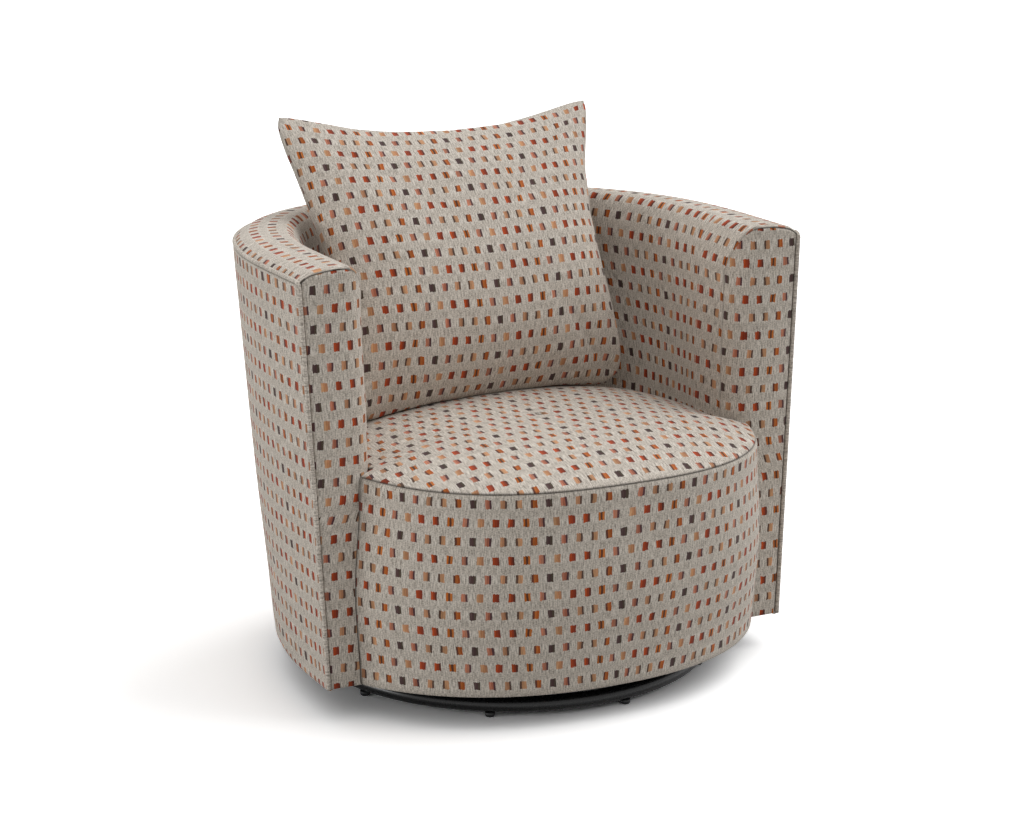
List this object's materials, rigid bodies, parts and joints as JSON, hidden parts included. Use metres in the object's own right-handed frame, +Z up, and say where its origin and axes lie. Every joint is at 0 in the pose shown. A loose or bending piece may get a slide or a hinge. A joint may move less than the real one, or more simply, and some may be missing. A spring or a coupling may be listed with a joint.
{
  "type": "swivel barrel chair",
  "caption": "Upholstered barrel armchair with one wrapped arm and back wall, a round crowned seat, a loose square pillow and a round base ring under a ball bearing swivel.",
  "frame": {"origin": "on the floor, on the swivel axis, which is the middle of the bounding box in X and Y", "axes": "+Z up; the sitter faces -Y; +X is to the right of someone looking along +Y at the chair's front"},
  "size_m": [0.89, 0.813, 0.8739],
  "materials": {
    "upholstery": "matt woven cloth with small woven squares",
    "foam": "matt cut foam",
    "timber": "sawn, unfinished",
    "steel": "zinc plated",
    "black_metal": "semi-gloss black enamel",
    "nylon": "satin moulded",
    "black_cloth": "matt bonded cloth"
  },
  "bodies": {
    "base": {"floor_ring": "black_metal", "strap_cross": "black_metal", "glide_1": "nylon", "glide_2": "nylon", "glide_3": "nylon", "glide_4": "nylon", "glide_5": "nylon", "glide_6": "nylon", "glide_7": "nylon", "glide_8": "nylon", "glide_9": "nylon", "lower_swivel_plate": "steel", "king_pin": "steel"},
    "bearing": {"ball_cage": "steel", "bearing_ball_1": "steel", "bearing_ball_2": "steel", "bearing_ball_3": "steel", "bearing_ball_4": "steel", "bearing_ball_5": "steel", "bearing_ball_6": "steel", "bearing_ball_7": "steel", "bearing_ball_8": "steel"},
    "chair": {"upper_swivel_plate": "steel", "plate_screw_1": "steel", "plate_screw_2": "steel", "plate_screw_3": "steel", "plate_screw_4": "steel", "dust_cover": "black_cloth", "bottom_frame": "timber", "seat_frame": "timber", "cross_rail_left": "timber", "cross_rail_right": "timber", "top_rail": "timber", "arm_post_left": "timber", "arm_post_right": "timber", "side_post_left": "timber", "side_post_right": "timber", "back_post_left": "timber", "back_post_right": "timber", "front_post_left": "timber", "front_post_right": "timber", "seat_spring_1": "steel", "seat_spring_2": "steel", "seat_spring_3": "steel", "seat_spring_4": "steel", "spring_deck_pad": "black_cloth", "seat_border_cover": "upholstery", "seat_border_foam": "foam", "seat_top_cover": "upholstery", "seat_foam": "foam", "arm_and_back_foam": "foam", "inside_cover": "upholstery", "outside_cover": "upholstery", "facing_cover_left": "upholstery", "facing_cover_right": "upholstery", "welt_cord": "upholstery"},
    "pillow": {"pillow_cover": "upholstery", "pillow_filling": "foam", "pillow_zip": "nylon"}
  },
  "joints": [
    {"name": "swivel", "type": "hinge", "parent": "base", "child": "chair", "pos_m": [0, 0, 0.05], "axis": [0, 0, 1], "continuous": true},
    {"name": "bearing_roll", "type": "hinge", "parent": "base", "child": "bearing", "pos_m": [0, 0, 0.05], "axis": [0, 0, 1], "continuous": true},
    {"name": "pillow_lift", "type": "slide", "parent": "chair", "child": "pillow", "axis": [0, 0, 1], "range_m": [0, 0.35]}
  ],
  "couplings": [
    {"joint": "bearing_roll", "follows": "swivel", "ratio": 0.5}
  ]
}
